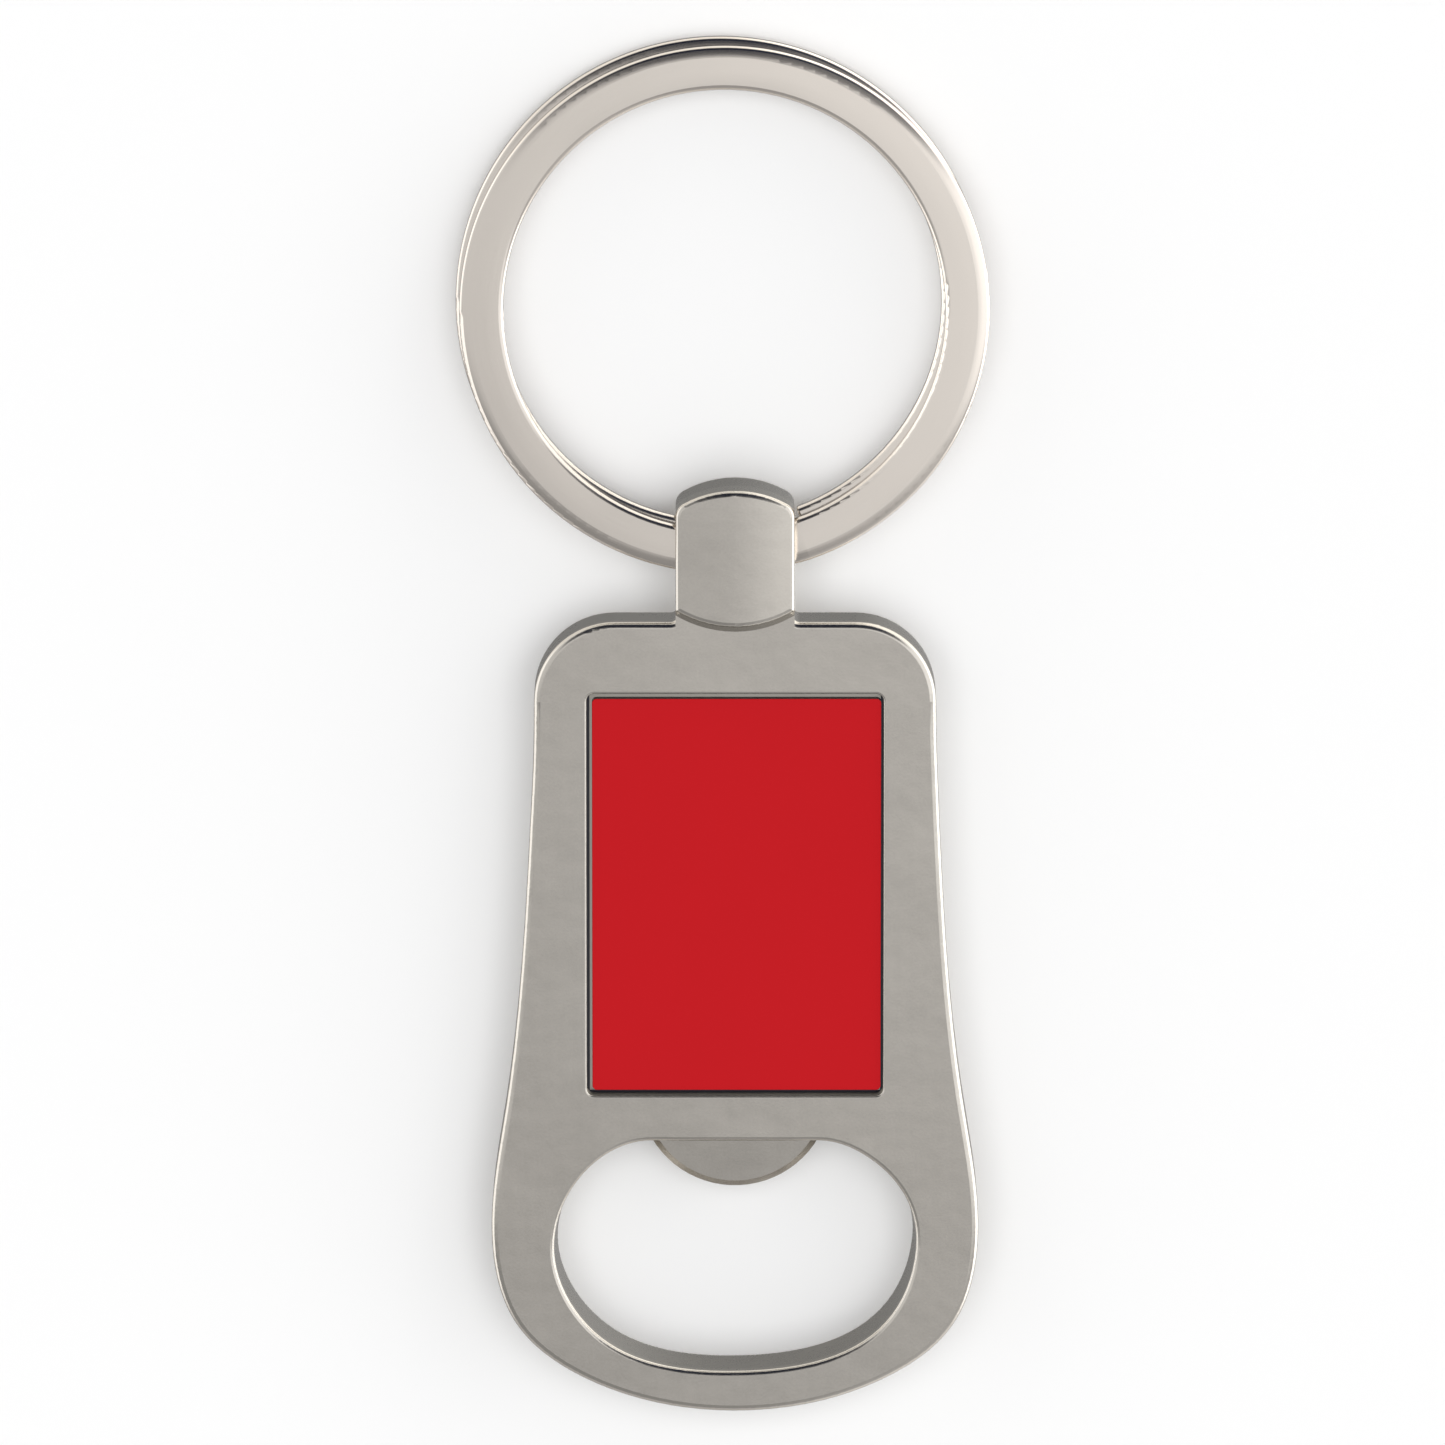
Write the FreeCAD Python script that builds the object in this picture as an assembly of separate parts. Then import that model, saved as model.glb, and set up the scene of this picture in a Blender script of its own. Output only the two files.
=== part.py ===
import FreeCAD, Part
import math
import os

Vector = FreeCAD.Vector

# Keychain bottle opener lying on its back. Millimetres.
# +X is across the width, +Y runs from the opener end to the split ring, +Z is out of the front.
# The origin is on the flat back, under the centre of the coloured insert.

# Body casting
BODY_T = 4.3
BODY_TOP_Y = 18.2
BODY_BOTTOM_Y = -34.8
TOP_CORNER_R = 5.3
TOP_HALF_W = 13.2
WAIST_HALF_W = 13.4
HIP_HALF_W = 15.1
WIDE_HALF_W = 16.05
WAIST_Y = 6.0
HIP_Y = -14.2
WIDE_Y = -23.2
FRONT_FILLET = 0.42
BACK_FILLET = 0.4

# Lug cast on the top of the body, with the eye that the split ring passes through
LUG_T = 6.0
LUG_HALF_W = 3.9
LUG_TOP_Y = BODY_TOP_Y + 9.0
LUG_END_R = 6.9
LUG_STEP_Y = BODY_TOP_Y - 0.6
LUG_STEP_ANGLE = 20.0
LUG_CROWN_R = 26.0
LUG_FILLET = 0.36
LUG_CORNER_R = 1.0
LUG_ROOT_FILLET = 0.45
EYE_R = 2.2
EYE_Y = BODY_TOP_Y + 5.0
EYE_Z = LUG_T / 2
EYE_MOUTH_BEVEL = 0.2

# Cap opening
OPEN_TOP_Y = -16.5
OPEN_BOTTOM_Y = -32.1
OPEN_WIDE_Y = -23.9
OPEN_HALF_W = 11.95
OPEN_FLAT_HALF_W = 4.4
OPEN_DRAFT = 0.22
OPEN_FILLET = 0.28

# Cap-lifting tooth
TOOTH_HALF_CHORD = 5.55
TOOTH_REACH = 3.3
TOOTH_BACK_Z = 0.8
TOOTH_FRONT_Z = 3.2
TOOTH_BEVEL = 0.4

# Recess for the insert
RECESS_W = 19.5
RECESS_H = 26.9
RECESS_DEPTH = 1.1
RECESS_CORNER_R = 0.5
RECESS_FILLET = 0.15

# Insert plate and the adhesive film that holds it
INSERT_W = 19.0
INSERT_H = 26.2
INSERT_T = 0.8
INSERT_CORNER_R = 0.3
INSERT_SHIFT_X = 0.1
INSERT_FILLET = 0.06
FILM_T = 0.12
FILM_MARGIN = 0.6

# Split ring: one flat wire wound in two turns, with a step from one turn to the other.
# The back turn lies a little off the front one's centre.
RING_OUTER_R = 17.35
RING_BACK_SHIFT = Vector(-0.25, 0.5, 0)
RING_WIRE_W = 2.9
RING_WIRE_T = 1.2
RING_CROWN_R = 16.0
RING_CROWN_IN_DEG = 4.0
RING_CROWN_OUT_DEG = 2.5
RING_SHOULDER_R = 2.6
RING_SHOULDER_DEG = 13.5
RING_END_FILLET = 0.15
RING_TURN_GAP = 0.04
RING_CENTRE_X = -0.7
RING_CENTRE_Y = EYE_Y + 15.5
STEP_RIGHT_DEG = 19.0
STEP_LEFT_DEG = -9.0
STEP_SECTIONS = 9
END_GAP_DEG = 1.0
RING_FLOOR_GAP = 0.02


def mirrored(points):
    """The points on the other side of the centreline, in reverse order."""
    return [Vector(-p.x, p.y, p.z) for p in reversed(points)]


def other_side(shape):
    """The edge or solid reflected in the plane X = 0."""
    return shape.mirror(Vector(0, 0, 0), Vector(1, 0, 0))


def face_of(edges):
    """A flat face inside a closed loop of edges."""
    return Part.Face(Part.Wire(Part.sortEdges(edges)[0]))


def rounded_rect(width, height, radius, z):
    """A face with rounded corners, centred on the origin."""
    hw = width / 2
    hh = height / 2
    plate = Part.makeBox(width, height, 1, Vector(-hw, -hh, z))
    upright = [e for e in plate.Edges if abs(e.tangentAt(e.FirstParameter).z) > 0.9]
    plate = plate.makeFillet(radius, upright)
    return min(plate.Faces, key=lambda f: f.CenterOfMass.z)


def rim_edges(solid, z):
    """All edges that lie in the plane at height z."""
    return [e for e in solid.Edges if abs(e.BoundBox.ZMin - z) < 0.001 and abs(e.BoundBox.ZMax - z) < 0.001]


def quarter_arc(start, centre, end):
    """The short arc from start to end about the centre."""
    to_middle = (start + end) * 0.5 - centre
    to_middle.normalize()
    return Part.Arc(start, centre + to_middle * start.distanceToPoint(centre), end).toShape()


def body_outline():
    """Outline of the casting: lug root, straight top, rounded corners, waisted sides and a round end."""
    inside_lug_x = LUG_HALF_W - 0.1
    root_x = inside_lug_x + LUG_ROOT_FILLET
    root_y = BODY_TOP_Y + LUG_ROOT_FILLET
    corner = Vector(TOP_HALF_W - TOP_CORNER_R, BODY_TOP_Y - TOP_CORNER_R, 0)
    root_end = Vector(inside_lug_x, root_y, 0)
    top_start = Vector(root_x, BODY_TOP_Y, 0)
    top_end = Vector(corner.x, BODY_TOP_Y, 0)
    side_points = [
        Vector(TOP_HALF_W, corner.y, 0),
        Vector(WAIST_HALF_W, WAIST_Y, 0),
        Vector(HIP_HALF_W, HIP_Y, 0),
        Vector(WIDE_HALF_W, WIDE_Y, 0),
        Vector(14.5, -28.85, 0),
        Vector(9.7, -32.7, 0),
    ]
    right = [
        quarter_arc(root_end, Vector(root_x, root_y, 0), top_start),
        Part.makeLine(top_start, top_end),
        quarter_arc(top_end, corner, side_points[0]),
    ]
    side = Part.BSplineCurve()
    loop = side_points + [Vector(0, BODY_BOTTOM_Y, 0)] + mirrored(side_points)
    side.interpolate(Points=loop, InitialTangent=Vector(0, -1, 0), FinalTangent=Vector(0, 1, 0))
    across = Part.makeLine(Vector(-inside_lug_x, root_y, 0), root_end)
    return face_of([across, side.toShape()] + right + [other_side(edge) for edge in right])


def opening_outline(z, inset):
    """Outline of the cap opening at height z: flat top, full sides and a broad round bottom."""
    top_y = OPEN_TOP_Y - inset
    wide_x = OPEN_HALF_W - inset
    bottom_y = OPEN_BOTTOM_Y + inset
    upper_right = [
        Vector(OPEN_FLAT_HALF_W / 2, top_y, z),
        Vector(OPEN_FLAT_HALF_W, top_y, z),
        Vector(OPEN_FLAT_HALF_W + 1.8, top_y - 0.05, z),
        Vector(wide_x - 3.05, top_y - 1.2, z),
    ]
    lower_right = [Vector(wide_x, OPEN_WIDE_Y, z), Vector(wide_x - 3.0, bottom_y + 2.35, z)]
    left = mirrored(upper_right + lower_right)
    loop = lower_right + [Vector(0, bottom_y, z)] + left + [Vector(0, top_y, z)] + upper_right
    curve = Part.BSplineCurve()
    curve.interpolate(Points=loop, PeriodicFlag=True)
    return Part.Wire(curve.toShape())


def opening_tool():
    """Solid that cuts the cap opening, slightly narrower at the back than at the front."""
    return Part.makeLoft([opening_outline(0, OPEN_DRAFT), opening_outline(BODY_T, 0)], True, True)


def tooth():
    """Round-nosed tongue that lifts the cap, thinner than the body and bevelled round its nose."""
    radius = (TOOTH_HALF_CHORD ** 2 + TOOTH_REACH ** 2) / (2 * TOOTH_REACH)
    centre = Vector(0, OPEN_TOP_Y - TOOTH_REACH + radius, TOOTH_BACK_Z)
    nose = Part.makeCylinder(radius, TOOTH_FRONT_Z - TOOTH_BACK_Z, centre)
    nose = nose.makeChamfer(TOOTH_BEVEL, rim_edges(nose, TOOTH_FRONT_Z) + rim_edges(nose, TOOTH_BACK_Z))
    root = Part.makeBox(2 * radius, 2 * radius, BODY_T, Vector(-radius, OPEN_TOP_Y + 0.6, 0))
    return nose.cut(root)


def lug():
    """Domed eye block: its front half is crowned, and ends in a sloping round step on the body's face."""
    drop = LUG_END_R - math.sqrt(LUG_END_R ** 2 - LUG_HALF_W ** 2)
    shoulder_y = LUG_TOP_Y - drop
    root_y = BODY_TOP_Y - 3
    dome = Part.Arc(
        Vector(-LUG_HALF_W, shoulder_y, 0), Vector(0, LUG_TOP_Y, 0), Vector(LUG_HALF_W, shoulder_y, 0)
    ).toShape()
    right = Part.makeLine(Vector(LUG_HALF_W, shoulder_y, 0), Vector(LUG_HALF_W, root_y, 0))
    foot = Part.makeLine(Vector(LUG_HALF_W, root_y, 0), Vector(-LUG_HALF_W, root_y, 0))
    block = face_of([dome, right, foot, other_side(right)]).extrude(Vector(0, 0, LUG_T))
    corners = [e for e in block.Edges if e.BoundBox.ZLength > 1 and e.CenterOfMass.y > BODY_TOP_Y]
    block = block.makeFillet(LUG_CORNER_R, corners)
    rise = LUG_T - BODY_T
    slope = rise * math.tan(math.radians(LUG_STEP_ANGLE))
    centre = Vector(0, LUG_STEP_Y + LUG_END_R + slope, BODY_T)
    step = Part.makeCone(LUG_END_R + slope, LUG_END_R, rise, centre)
    under_step = Part.makeBox(6 * LUG_HALF_W, 2 * LUG_TOP_Y, BODY_T, Vector(-3 * LUG_HALF_W, 0, 0))
    crown_axis = Vector(0, 0, LUG_T - LUG_CROWN_R)
    crown = Part.makeCylinder(LUG_CROWN_R, 2 * LUG_TOP_Y, crown_axis, Vector(0, 1, 0))
    block = block.common(under_step.fuse(step)).common(crown)
    block = block.makeFillet(LUG_FILLET, [e for e in block.Edges if e.BoundBox.ZMin > LUG_T - LUG_FILLET])
    back = [e for e in rim_edges(block, 0) if e.CenterOfMass.y > BODY_TOP_Y - 1]
    return block.makeFillet(BACK_FILLET, back)


def eye_tool():
    """Solid that bores the eye through the lug, with a bevel at either mouth."""
    left = Vector(-LUG_HALF_W, EYE_Y, EYE_Z)
    across = Vector(1, 0, 0)
    tool = Part.makeCylinder(EYE_R, 2 * LUG_HALF_W, left, across)
    mouth = Part.makeCone(EYE_R + EYE_MOUTH_BEVEL, EYE_R, EYE_MOUTH_BEVEL, left, across)
    return tool.fuse([mouth, other_side(mouth)])


def opening_rim(body, z):
    """The edge of the cap opening at height z."""
    closed = [e for e in rim_edges(body, z) if e.isClosed()]
    return [e for e in closed if OPEN_BOTTOM_Y - 1 < e.CenterOfMass.y < OPEN_TOP_Y]


def opener_body():
    """The whole casting: frame, cap opening, tooth, insert recess and lug."""
    body = body_outline().extrude(Vector(0, 0, BODY_T))
    body = body.makeFillet(FRONT_FILLET, rim_edges(body, BODY_T))
    body = body.makeFillet(BACK_FILLET, rim_edges(body, 0))
    body = body.cut(opening_tool())
    body = body.makeFillet(OPEN_FILLET, opening_rim(body, BODY_T))
    body = body.makeFillet(OPEN_FILLET, opening_rim(body, 0))
    body = body.fuse(tooth())
    recess = rounded_rect(RECESS_W, RECESS_H, RECESS_CORNER_R, BODY_T - RECESS_DEPTH)
    body = body.cut(recess.extrude(Vector(0, 0, 2 * RECESS_DEPTH)))
    mouth = [e for e in rim_edges(body, BODY_T) if abs(e.CenterOfMass.y) <= RECESS_H / 2 + 0.01]
    body = body.makeFillet(RECESS_FILLET, mouth)
    body = body.fuse(lug()).removeSplitter()
    return body.cut(eye_tool())


def insert_plate():
    """Thin coloured plate with slightly eased front edges."""
    floor_z = BODY_T - RECESS_DEPTH + FILM_T
    plate = rounded_rect(INSERT_W, INSERT_H, INSERT_CORNER_R, floor_z).extrude(Vector(0, 0, INSERT_T))
    plate = plate.makeFillet(INSERT_FILLET, rim_edges(plate, floor_z + INSERT_T))
    plate.translate(Vector(INSERT_SHIFT_X, 0, 0))
    return plate


def insert_adhesive():
    """Double-sided adhesive film between the recess floor and the insert plate."""
    width = INSERT_W - 2 * FILM_MARGIN
    height = INSERT_H - 2 * FILM_MARGIN
    film = rounded_rect(width, height, INSERT_CORNER_R, BODY_T - RECESS_DEPTH)
    film = film.extrude(Vector(0, 0, FILM_T))
    film.translate(Vector(INSERT_SHIFT_X, 0, 0))
    return film


def wire_front():
    """Arcs across the wire's front from its inner edge, each as three (across, height) points."""
    half_w = RING_WIRE_W / 2
    inner = math.radians(RING_CROWN_IN_DEG)
    outer = math.radians(RING_CROWN_OUT_DEG)
    shoulder = math.radians(RING_SHOULDER_DEG)
    shoulder_end = RING_CROWN_R * math.sin(outer) + RING_SHOULDER_R * (math.sin(shoulder) - math.sin(outer))
    inner_r = (half_w - RING_CROWN_R * math.sin(inner)) / (1 - math.sin(inner))
    outer_r = (half_w - shoulder_end) / (1 - math.sin(shoulder))
    bends = [
        (inner_r, -math.pi / 2, -inner),
        (RING_CROWN_R, -inner, outer),
        (RING_SHOULDER_R, outer, shoulder),
        (outer_r, shoulder, math.pi / 2),
    ]
    across = -half_w
    height = RING_WIRE_T / 2 - RING_CROWN_R + (RING_CROWN_R - inner_r) * math.cos(inner)
    arcs = []
    for radius, start, end in bends:
        points = []
        for lean in (start, (start + end) / 2, end):
            along = across + radius * (math.sin(lean) - math.sin(start))
            points.append((along, height + radius * (math.cos(lean) - math.cos(start))))
        arcs.append(points)
        across, height = points[2]
    return arcs


def wire_section(centre, outward):
    """Outline of the flat wire: wide along outward, thin along Z, with the same shape front and back."""
    front = wire_front()
    back = [[(across, -height) for across, height in reversed(arc)] for arc in reversed(front)]
    edges = []
    last = None
    for arc in front + back:
        start, middle, end = [centre + outward * across + Vector(0, 0, height) for across, height in arc]
        if last and last.distanceToPoint(start) > 0.001:
            edges.append(Part.makeLine(last, start))
        edges.append(Part.Arc(start, middle, end).toShape())
        last = end
    edges.append(Part.makeLine(last, edges[0].Vertexes[0].Point))
    return Part.Wire(edges)


def turn_centre(share):
    """Centre of a turn, midway through its wire; share is 0 on the front turn, 1 on the back."""
    rise = (RING_WIRE_T + RING_TURN_GAP) * (0.5 - share)
    return Vector(RING_CENTRE_X, RING_CENTRE_Y, EYE_Z + rise) + RING_BACK_SHIFT * share


def ring_station(degrees, share):
    """Wire outline at an angle from the ring's lowest point, on the turn that share names."""
    angle = math.radians(degrees)
    outward = Vector(math.sin(angle), -math.cos(angle), 0)
    radius = RING_OUTER_R - RING_WIRE_W / 2
    return wire_section(turn_centre(share) + outward * radius, outward)


def ring_turn(share, start_deg, end_deg, free_deg):
    """One flat turn of the ring, with the cut edges of its free end rounded."""
    section = Part.Face(ring_station(start_deg, share))
    turn = section.revolve(turn_centre(share), Vector(0, 0, 1), end_deg - start_deg)
    angle = math.radians(free_deg)
    outward = Vector(math.sin(angle), -math.cos(angle), 0)
    along = Vector(math.cos(angle), math.sin(angle), 0)
    rim = []
    for edge in turn.Edges:
        offsets = [v.Point - turn_centre(share) for v in edge.Vertexes]
        if all(abs(o.dot(along)) < 0.001 and o.dot(outward) > 0 for o in offsets):
            rim.append(edge)
    return turn.makeFillet(RING_END_FILLET, rim)


def ring_step():
    """Short run of wire that steps from the front turn to the back turn."""
    stations = []
    for i in range(STEP_SECTIONS):
        along = i / (STEP_SECTIONS - 1)
        share = along * along * (3 - 2 * along)
        degrees = STEP_RIGHT_DEG + along * (STEP_LEFT_DEG - STEP_RIGHT_DEG)
        stations.append(ring_station(degrees, share))
    return Part.makeLoft(stations, True, False)


def split_ring():
    """Two turns and the step between them, tilted so that the far side rests on the surface."""
    left = STEP_LEFT_DEG + 360
    front_end = left - END_GAP_DEG
    back_end = STEP_RIGHT_DEG + END_GAP_DEG
    front = ring_turn(0, STEP_RIGHT_DEG, front_end, front_end)
    back = ring_turn(1, back_end, left, back_end)
    ring = front.fuse([ring_step(), back])
    half_stack = RING_WIRE_T + RING_TURN_GAP / 2
    reach = turn_centre(1).y + RING_OUTER_R - EYE_Y
    droop = math.degrees(math.asin((EYE_Z - half_stack - RING_FLOOR_GAP) / reach))
    ring.rotate(Vector(0, EYE_Y, EYE_Z), Vector(1, 0, 0), -droop)
    return ring


PIECES = {
    "opener_body": opener_body,
    "insert_adhesive": insert_adhesive,
    "insert_plate": insert_plate,
    "split_ring": split_ring,
}

os.makedirs("parts", exist_ok=True)
for name, build in PIECES.items():
    build().exportStep("parts/" + name + ".step")
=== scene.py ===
"""Looks of the keychain bottle opener: nickel casting, red insert, nickel split ring.

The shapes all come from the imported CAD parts. This script gives each of them a
procedural material and lays the object on a pale floor under soft studio light.
Lengths are in metres, in the frame of the CAD.
"""

import math

import bpy
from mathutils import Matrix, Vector


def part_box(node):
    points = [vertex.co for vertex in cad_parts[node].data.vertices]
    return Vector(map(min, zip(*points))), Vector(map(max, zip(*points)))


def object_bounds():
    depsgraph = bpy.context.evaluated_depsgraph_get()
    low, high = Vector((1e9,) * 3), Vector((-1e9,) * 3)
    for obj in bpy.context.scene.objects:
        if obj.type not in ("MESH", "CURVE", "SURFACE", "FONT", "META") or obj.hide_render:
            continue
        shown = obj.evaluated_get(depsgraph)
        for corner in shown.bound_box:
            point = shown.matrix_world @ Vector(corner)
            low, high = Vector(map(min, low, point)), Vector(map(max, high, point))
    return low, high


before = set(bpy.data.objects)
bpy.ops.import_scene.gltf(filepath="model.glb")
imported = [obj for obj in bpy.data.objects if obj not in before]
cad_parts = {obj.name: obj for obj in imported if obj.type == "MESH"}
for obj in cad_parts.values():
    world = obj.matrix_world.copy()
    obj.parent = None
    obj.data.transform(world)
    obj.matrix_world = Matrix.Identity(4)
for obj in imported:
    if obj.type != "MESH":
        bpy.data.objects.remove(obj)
cad_low, cad_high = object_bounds()
cad_centre = (cad_low + cad_high) / 2
cad_length = cad_high.y - cad_low.y

MM = 0.001

# Camera: looks down on the object from past the split ring. The frame's width is a multiple of
# the object's length, and the aim lies a little past the object's middle.
CAMERA_TILT = math.radians(10.3)
CAMERA_DISTANCE = 1.0
FRAME_MARGIN = 1.0402
AIM_SHIFT_Y = 0.48 * MM

# Base colours, linear.
CASTING_COLOUR = (0.622, 0.588, 0.538)
# Painted shade: the casting's walls are painted darker than its front face.
WALL_PAINTED_SHADE_COLOUR = (0.560, 0.533, 0.485)
# Painted shade: the insert's recess is painted a little darker than the face.
RECESS_PAINTED_SHADE_COLOUR = (0.580, 0.550, 0.500)
# Painted shade: near black along the recess's walls, where its corners lie in shade.
RECESS_CORNER_PAINTED_SHADE = (0.070, 0.070, 0.085)
WIRE_COLOUR = (0.880, 0.815, 0.748)
PIT_COLOUR = (0.120, 0.110, 0.100)
RED_COLOUR = (0.490, 0.0085, 0.0130)
CUT_EDGE_COLOUR = (0.200, 0.203, 0.207)
FILM_COLOUR = (0.800, 0.800, 0.760)
FLOOR_COLOUR = (0.900, 0.900, 0.900)

# The insert's recess: half its width and height, how far the painted shade in its corners reaches from its
# walls, and how far above the insert and past its walls a point still counts as inside.
RECESS_HALF_W = 9.75 * MM
RECESS_HALF_H = 13.45 * MM
RECESS_CORNER = 0.18 * MM
RECESS_RIM = 0.10 * MM
RECESS_EDGE = 0.10 * MM

# How much darker the left side of the casting and of the ring is painted than the right, and the ring's
# lug end than its far end, all painted shade; and the slope at which the ring leans.
CASTING_SHADING = 0.05
WIRE_SHADING = 0.19
WIRE_END_SHADING = 0.11
WIRE_LEAN = 0.030

# Heights between which painted shade on the casting's sunken parts fades out upwards, and how much darker
# they are painted below them.
TOOTH_TOP = 3.3 * MM
FACE_EDGE = 3.9 * MM
SUNKEN_PAINTED_SHADE = 0.16

# Sizes of the patches of noise in the metals, and of the pits and the cells that they are scattered in.
CLOUD_SIZE = 7 * MM
STREAK_SIZE = 0.6 * MM
CASTING_GRAIN = 0.16 * MM
CASTING_PIT_CELL = 3.0 * MM
CASTING_PIT_R = 0.11 * MM
LINE_SPACING = 0.10 * MM
TWIST_SIZE = 14 * MM
WIRE_GRAIN = 0.12 * MM
WIRE_PIT_CELL = 1.3 * MM
WIRE_PIT_R = 0.06 * MM

# Shares of the cells that have a pit.
CASTING_PIT_SHARE = 0.30
WIRE_PIT_SHARE = 0.16

# Roughness of each surface; the recess's is added to the casting's own.
FACE_ROUGHNESS = 0.19
WALL_ROUGHNESS = 0.28
RECESS_ROUGHER = 0.20
WIRE_ROUGHNESS = 0.17
COATING_ROUGHNESS = 0.48
FILM_ROUGHNESS = 0.6
FLOOR_ROUGHNESS = 0.9

# Size of the floor, and the soft panel that lights it: size, height and power.
FLOOR_SIZE = 12.0
FLOOR_PANEL_SIZE = 1.4
FLOOR_PANEL_HEIGHT = 1.2
FLOOR_PANEL_POWER = 9.4

# Brightness of the light tent, by direction.
OVERHEAD_NEAR = 0.36
OVERHEAD_FAR = 0.85
SIDE_LIGHT = (1.70, 1.69, 1.67)
NEAR_LIGHT = (0.62, 0.61, 0.60)
FAR_LIGHT = (1.15, 1.12, 1.06)
BELOW_LIGHT = (0.28, 0.28, 0.28)
FLAG_LIGHT = (0.020, 0.024, 0.040)
FLAG_EDGE_LIGHT = (0.130, 0.130, 0.135)
LEFT_BRIGHTNESS = 1.00
RIGHT_BRIGHTNESS = 1.55

# Where the tent changes from one light to the next, as X, Y or Z of a direction of length 1. The
# flag's ranges are cosines of the angle from its middle.
OVERHEAD_Y = (-0.31, -0.07)
ENDS_Y = (-0.30, 0.50)
SIDES_X = (0.70, 0.95)
ABOVE_Z = (0.18, 0.42)
BELOW_Z = (-0.92, -0.60)
RIGHT_X = (-0.05, 0.30)
FLAG_PLACE = Vector((0.0, 0.69, 0.72))
FLAG_EDGE_COSINE = (0.79, 0.85)
FLAG_COSINE = (0.89, 0.94)


class Graph:
    """The node tree of a material or of the world, and short ways to add to it."""

    def __init__(self, owner):
        owner.use_nodes = True
        self.nodes = owner.node_tree.nodes
        self.links = owner.node_tree.links
        self.coords = self.nodes.new("ShaderNodeTexCoord").outputs

    def put(self, socket, value):
        """Sets a socket to a number or a colour, or links it to another node's output."""
        if isinstance(value, bpy.types.NodeSocket):
            self.links.new(value, socket)
        elif isinstance(value, tuple) and len(socket.default_value) == 4:
            socket.default_value = (*value, 1.0)
        else:
            socket.default_value = value

    def surface(self, **settings):
        """Sets the Principled shader's inputs, such as Base_Color=..., Metallic=..."""
        for name, value in settings.items():
            self.put(self.nodes["Principled BSDF"].inputs[name.replace("_", " ")], value)

    def maths(self, operation, *values):
        node = self.nodes.new("ShaderNodeMath")
        node.operation = operation
        for socket, value in zip(node.inputs, values):
            self.put(socket, value)
        return node.outputs[0]

    def axes(self, vector):
        """The vector's X, Y and Z."""
        node = self.nodes.new("ShaderNodeSeparateXYZ")
        self.put(node.inputs[0], vector)
        return node.outputs

    def stretched(self, vector, scale):
        """The vector with each of its axes scaled."""
        node = self.nodes.new("ShaderNodeVectorMath")
        node.operation = "MULTIPLY"
        self.put(node.inputs[0], vector)
        node.inputs[1].default_value = scale
        return node.outputs[0]

    def noise(self, vector, scale, detail=2.0):
        """Noise about 0.5, from 0 to 1."""
        node = self.nodes.new("ShaderNodeTexNoise")
        self.put(node.inputs["Vector"], vector)
        node.inputs["Scale"].default_value = scale
        node.inputs["Detail"].default_value = detail
        return node.outputs["Fac"]

    def band(self, value, low, high, to_low=0.0, to_high=1.0):
        """The value, smoothly carried from the range low..high to to_low..to_high."""
        node = self.nodes.new("ShaderNodeMapRange")
        node.interpolation_type = "SMOOTHSTEP"
        for socket, number in zip(node.inputs, (value, low, high, to_low, to_high)):
            self.put(socket, number)
        return node.outputs[0]

    def mix(self, share, first, second):
        """Colour between the first and the second."""
        node = self.nodes.new("ShaderNodeMix")
        node.data_type = "RGBA"
        self.put(node.inputs["Factor"], share)
        self.put(node.inputs[6], first)
        self.put(node.inputs[7], second)
        return node.outputs[2]

    def shade(self, colour, brightness):
        """The colour made lighter or darker by a brightness about 1."""
        node = self.nodes.new("ShaderNodeVectorMath")
        node.operation = "SCALE"
        self.put(node.inputs[0], colour)
        self.put(node.inputs["Scale"], brightness)
        return node.outputs[0]

    def bump(self, height, distance, normal=None):
        node = self.nodes.new("ShaderNodeBump")
        self.put(node.inputs["Height"], height)
        node.inputs["Distance"].default_value = distance
        if normal is not None:
            self.put(node.inputs["Normal"], normal)
        return node.outputs[0]


def sum_about(graph, centre, *swings):
    """centre plus each (noise, swing): the noise about 0.5 moves the result by half of swing."""
    total = centre
    for noise, swing in swings:
        total = graph.maths("MULTIPLY_ADD", noise, swing, total)
        total = graph.maths("SUBTRACT", total, swing / 2)
    return total


def pits(graph, cell_size, pit_radius, share):
    """1 inside scattered round pits, 0 elsewhere; share of the cells have one."""
    node = graph.nodes.new("ShaderNodeTexVoronoi")
    graph.put(node.inputs["Vector"], graph.coords["Object"])
    node.inputs["Scale"].default_value = 1 / cell_size
    inside = graph.band(node.outputs["Distance"], 0.4 * pit_radius / cell_size,
                        pit_radius / cell_size, 1.0, 0.0)
    parts = graph.nodes.new("ShaderNodeSeparateColor")
    graph.put(parts.inputs[0], node.outputs["Color"])
    chosen = graph.maths("LESS_THAN", parts.outputs[0], share)
    return graph.maths("MULTIPLY", inside, chosen)


def inside_recess(g):
    """Two masks, 1 inside and 0 elsewhere: the insert's whole recess, and the strip along its walls where
    shade is painted.
    """
    low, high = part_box("insert_plate")
    place = g.axes(g.coords["Object"])
    below = g.band(place["Z"], high.z, high.z + RECESS_RIM, 1.0, 0.0)
    past_x = g.maths("SUBTRACT", g.maths("ABSOLUTE", place["X"]), RECESS_HALF_W)
    past_y = g.maths("SUBTRACT", g.maths("ABSOLUTE", place["Y"]), RECESS_HALF_H)
    past = g.maths("MAXIMUM", past_x, past_y)
    recess = g.maths("MULTIPLY", below, g.maths("LESS_THAN", past, RECESS_EDGE))
    return recess, g.maths("MULTIPLY", recess, g.maths("GREATER_THAN", past, -RECESS_CORNER))


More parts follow.
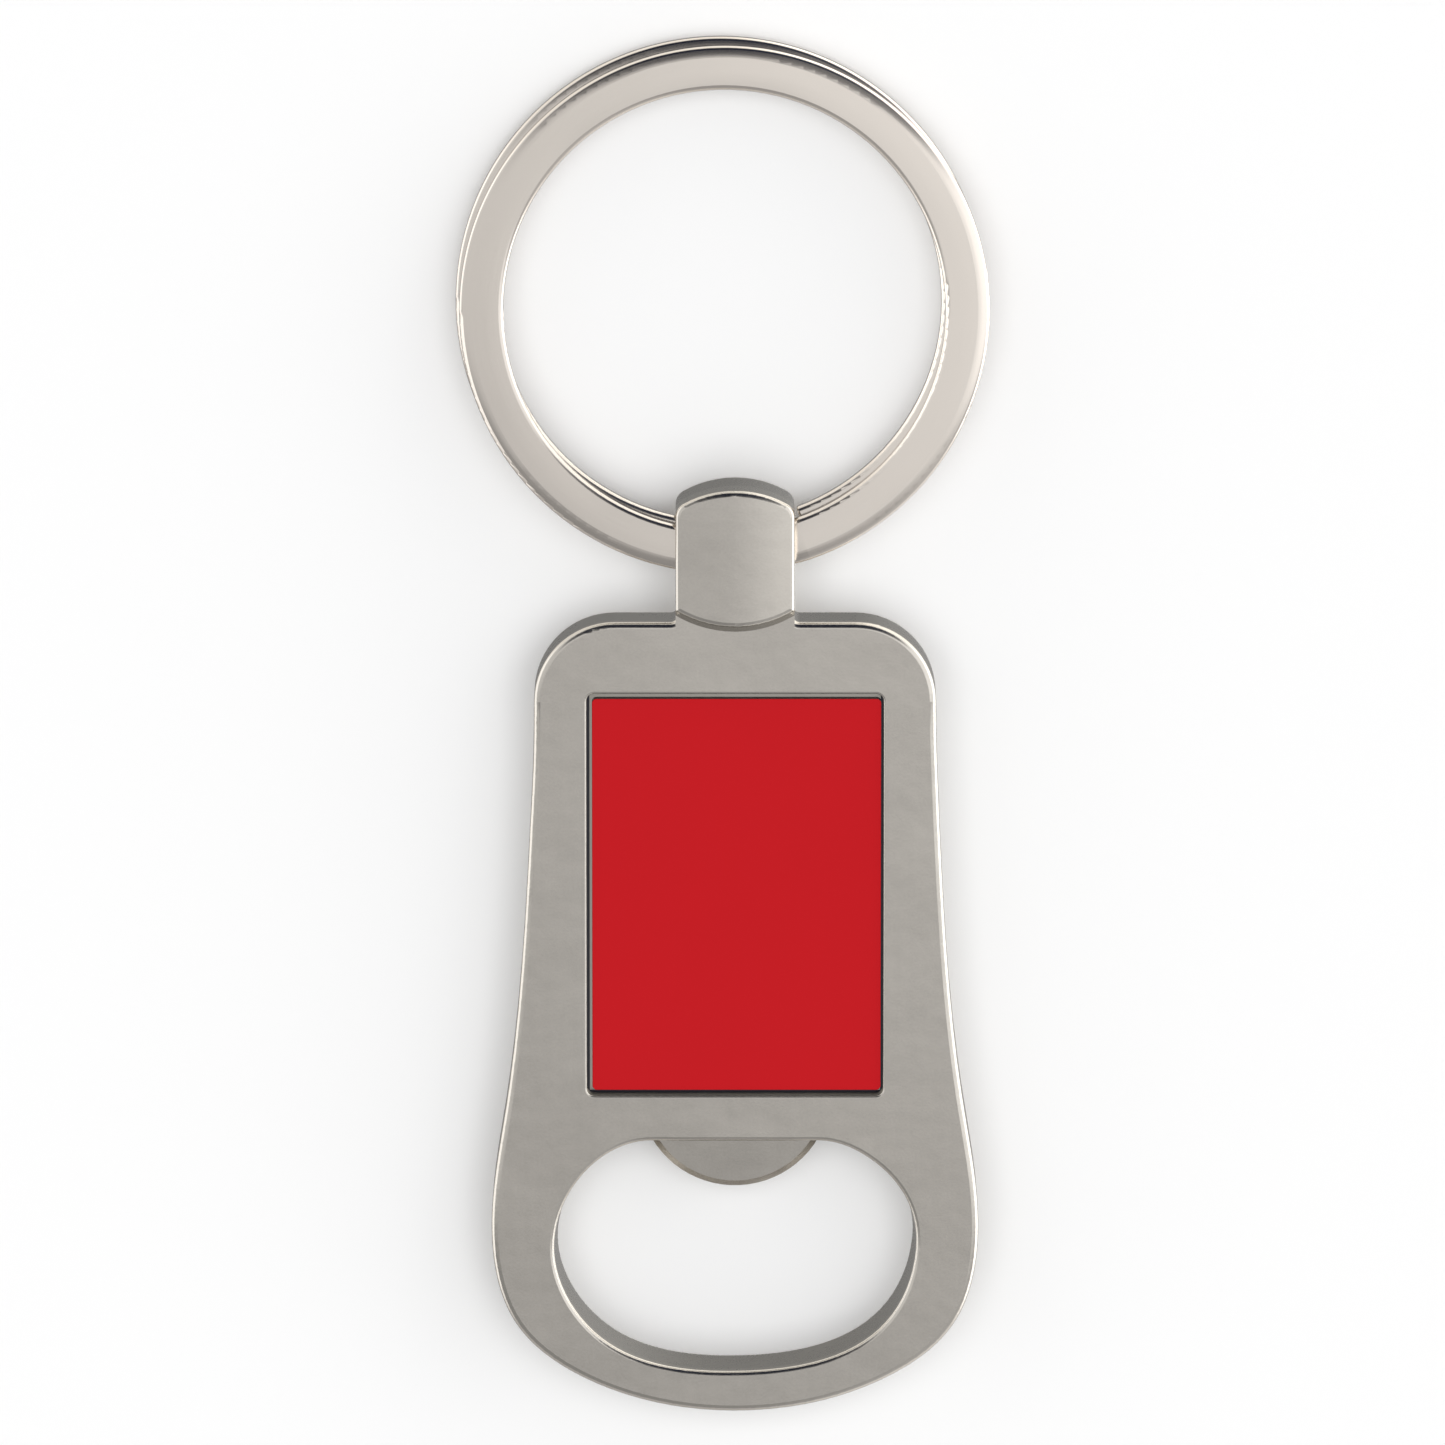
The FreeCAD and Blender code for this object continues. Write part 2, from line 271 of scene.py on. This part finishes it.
def casting_material():
    """Satin nickel plate over a zinc die casting, rougher on its walls, with painted shade: darker on its
    walls, in its recess, on its sunken parts and on its left side, and dark in the recess's corners.
    """
    material = bpy.data.materials.new("nickel_casting")
    g = Graph(material)
    where = g.coords["Object"]
    upright = g.maths("ABSOLUTE", g.axes(g.coords["Normal"])["Z"])
    wall = g.band(upright, 0.05, 0.40, 1.0, 0.0)
    recess, corner = inside_recess(g)
    clouds = g.noise(where, 1 / CLOUD_SIZE, 3.0)
    streaks = g.noise(g.stretched(where, (1.0, 0.08, 1.0)), 1 / STREAK_SIZE, 3.0)
    grain = g.noise(where, 1 / CASTING_GRAIN, 2.0)
    dark = pits(g, CASTING_PIT_CELL, CASTING_PIT_R, CASTING_PIT_SHARE)
    # Painted shade: the walls and the recess are painted darker than the front face.
    plate = g.mix(recess, g.mix(wall, CASTING_COLOUR, WALL_PAINTED_SHADE_COLOUR), RECESS_PAINTED_SHADE_COLOUR)
    # Painted shade: the strip along the recess's walls is painted near black.
    plate = g.mix(g.maths("MULTIPLY", corner, g.band(upright, 0.05, 0.40)), plate, RECESS_CORNER_PAINTED_SHADE)
    # Painted shade: the casting's sunken parts below its front face are painted darker.
    sunken = g.band(g.axes(where)["Z"], TOOTH_TOP, FACE_EDGE, 1.0 - SUNKEN_PAINTED_SHADE, 1.0)
    low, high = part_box("opener_body")
    # Painted shade: the casting's left side is painted darker than its right.
    across = g.band(g.axes(where)["X"], low.x, high.x, 1.0 - CASTING_SHADING, 1.0)
    tone = sum_about(g, g.maths("MULTIPLY", across, sunken), (clouds, 0.08), (streaks, 0.03), (grain, 0.10))
    base = g.mix(dark, g.shade(plate, tone), PIT_COLOUR)
    own_satin = g.band(wall, 0.0, 1.0, FACE_ROUGHNESS, WALL_ROUGHNESS)
    satin = g.maths("MULTIPLY_ADD", recess, RECESS_ROUGHER, own_satin)
    satin = sum_about(g, satin, (clouds, 0.06), (streaks, 0.05), (grain, 0.05))
    wavy = g.bump(clouds, 0.05 * MM)
    rough = g.bump(grain, 0.0012 * MM, wavy)
    sunk = g.bump(g.maths("MULTIPLY", dark, -1.0), 0.02 * MM, rough)
    g.surface(Base_Color=base, Metallic=1.0, Roughness=satin, Normal=sunk)
    return material


def wire_material():
    """Bright nickel plate on drawn spring wire, with faint lines that run along the wire, and painted shade
    that darkens its left side and its lug end.
    """
    material = bpy.data.materials.new("nickel_wire")
    g = Graph(material)
    low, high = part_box("split_ring")
    centre = (low + high) / 2
    moved = g.nodes.new("ShaderNodeVectorMath")
    moved.operation = "SUBTRACT"
    g.put(moved.inputs[0], g.coords["Object"])
    moved.inputs[1].default_value = centre
    offset = g.axes(moved.outputs[0])
    squares = [g.maths("POWER", offset[axis], 2.0) for axis in "XY"]
    radius = g.maths("SQRT", g.maths("ADD", *squares))
    track = g.nodes.new("ShaderNodeCombineXYZ")
    for axis in "XY":
        g.put(track.inputs[axis], g.maths("MULTIPLY", g.maths("DIVIDE", offset[axis], radius), 3.0))
    g.put(track.inputs["Z"], g.maths("MULTIPLY", radius, 1 / LINE_SPACING))
    where = g.coords["Object"]
    lines = g.noise(track.outputs[0], 1.0, 3.0)
    clouds = g.noise(where, 1 / CLOUD_SIZE, 3.0)
    grain = g.noise(where, 1 / WIRE_GRAIN, 2.0)
    dark = pits(g, WIRE_PIT_CELL, WIRE_PIT_R, WIRE_PIT_SHARE)
    # Painted shade: the ring is painted darker towards its left side and towards its lug end.
    across = g.band(g.axes(where)["X"], low.x, high.x, 1.0 - WIRE_SHADING, 1.0)
    along = g.band(g.axes(where)["Y"], low.y, high.y, 1.0 - WIRE_END_SHADING, 1.0)
    tone = sum_about(g, g.maths("MULTIPLY", across, along), (clouds, 0.08), (lines, 0.05), (grain, 0.04))
    base = g.mix(dark, g.shade(WIRE_COLOUR, tone), PIT_COLOUR)
    satin = sum_about(g, WIRE_ROUGHNESS, (clouds, 0.08), (lines, 0.08), (grain, 0.04))
    lean = g.bump(g.axes(where)["X"], WIRE_LEAN)
    twist = g.bump(g.noise(where, 1 / TWIST_SIZE, 1.0), 0.25 * MM, lean)
    drawn = g.bump(lines, 0.0015 * MM, twist)
    g.surface(Base_Color=base, Metallic=1.0, Roughness=satin, Normal=drawn)
    return material


def insert_material():
    """Flat satin red coating on a thin metal plate, bare on its cut edges."""
    material = bpy.data.materials.new("red_insert")
    g = Graph(material)
    where = g.coords["Object"]
    upright = g.axes(g.coords["Normal"])["Z"]
    coated = g.band(upright, 0.3, 0.6)
    clouds = g.noise(where, 1 / (6 * MM), 2.0)
    grain = g.noise(where, 1 / (0.10 * MM), 2.0)
    tone = sum_about(g, 1.0, (clouds, 0.04), (grain, 0.05))
    base = g.mix(coated, CUT_EDGE_COLOUR, g.shade(RED_COLOUR, tone))
    g.surface(Base_Color=base, Metallic=g.band(coated, 0.0, 1.0, 1.0, 0.0),
              Roughness=sum_about(g, COATING_ROUGHNESS, (clouds, 0.06), (grain, 0.10)),
              Specular_IOR_Level=0.07, Normal=g.bump(grain, 0.003 * MM))
    return material


def adhesive_material():
    """Milky double-sided film."""
    material = bpy.data.materials.new("adhesive")
    g = Graph(material)
    grain = g.noise(g.coords["Object"], 1 / (0.3 * MM), 2.0)
    g.surface(Base_Color=g.shade(FILM_COLOUR, sum_about(g, 1.0, (grain, 0.06))), Roughness=FILM_ROUGHNESS,
              Normal=g.bump(grain, 0.004 * MM))
    return material


def floor():
    """A wide pale floor under the object, left out of the metal's reflections."""
    bpy.ops.mesh.primitive_plane_add(size=FLOOR_SIZE, location=(0, 0, cad_low.z))
    ground = bpy.context.object
    ground.name = "floor"
    ground.visible_glossy = False
    material = bpy.data.materials.new("floor")
    Graph(material).surface(Base_Color=FLOOR_COLOUR, Roughness=FLOOR_ROUGHNESS)
    ground.data.materials.append(material)


def area_light(name, place, size, power):
    """A soft panel of light that faces the object."""
    light = bpy.data.lights.new(name, "AREA")
    light.shape = "RECTANGLE"
    light.size, light.size_y = size
    light.energy = power
    lamp = bpy.data.objects.new(name, light)
    lamp.location = place
    lamp.rotation_mode = "QUATERNION"
    lamp.rotation_quaternion = (Vector(place) - cad_centre).to_track_quat("Z", "Y")
    bpy.context.scene.collection.objects.link(lamp)
    return lamp


def tent(g):
    """Colour of the light tent in each direction: grey overhead, bright at the sides, with a black flag."""
    direction = g.coords["Generated"]
    x, y, z = (g.axes(direction)[axis] for axis in "XYZ")
    overhead = g.band(y, *OVERHEAD_Y, OVERHEAD_NEAR, OVERHEAD_FAR)
    ends = g.mix(g.band(y, *ENDS_Y), NEAR_LIGHT, FAR_LIGHT)
    sides = g.mix(g.band(g.maths("ABSOLUTE", x), *SIDES_X), ends, SIDE_LIGHT)
    above = g.mix(g.band(z, *ABOVE_Z), sides, overhead)
    colour = g.mix(g.band(z, *BELOW_Z), BELOW_LIGHT, above)
    flag = g.nodes.new("ShaderNodeVectorMath")
    flag.operation = "DOT_PRODUCT"
    g.put(flag.inputs[0], direction)
    flag.inputs[1].default_value = FLAG_PLACE
    colour = g.mix(g.band(flag.outputs["Value"], *FLAG_EDGE_COSINE), colour, FLAG_EDGE_LIGHT)
    colour = g.mix(g.band(flag.outputs["Value"], *FLAG_COSINE), colour, FLAG_LIGHT)
    return g.shade(colour, g.band(x, *RIGHT_X, LEFT_BRIGHTNESS, RIGHT_BRIGHTNESS))


def studio():
    """The tent, and a soft panel overhead that lights the floor without showing in the metal."""
    world = bpy.data.worlds.new("studio")
    bpy.context.scene.world = world
    g = Graph(world)
    g.put(g.nodes["Background"].inputs["Color"], tent(g))
    place = (0.0, 0.0, FLOOR_PANEL_HEIGHT)
    panel = area_light("floor_panel", place, (FLOOR_PANEL_SIZE, FLOOR_PANEL_SIZE), FLOOR_PANEL_POWER)
    panel.visible_glossy = False


def camera():
    """Straight above the object's width, tilted towards the ring end."""
    data = bpy.data.cameras.new("camera")
    data.sensor_width = 36.0
    data.lens = data.sensor_width * CAMERA_DISTANCE / (cad_length * FRAME_MARGIN)
    data.clip_start = 0.01
    shot = bpy.data.objects.new("camera", data)
    aim = cad_centre + Vector((0, AIM_SHIFT_Y, 0))
    shot.location = aim + CAMERA_DISTANCE * Vector((0, math.sin(CAMERA_TILT), math.cos(CAMERA_TILT)))
    shot.rotation_euler = (-CAMERA_TILT, 0, 0)
    bpy.context.scene.collection.objects.link(shot)
    bpy.context.scene.camera = shot


def dress():
    """Gives each CAD part its material."""
    nickel = casting_material()
    looks = {
        "opener_body": nickel,
        "insert_plate": insert_material(),
        "insert_adhesive": adhesive_material(),
        "split_ring": wire_material(),
    }
    for node, material in looks.items():
        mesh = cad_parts[node].data
        mesh.materials.clear()
        mesh.materials.append(material)
    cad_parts["insert_plate"].visible_glossy = False


dress()
floor()
studio()
camera()
bpy.context.scene.view_settings.view_transform = "Standard"
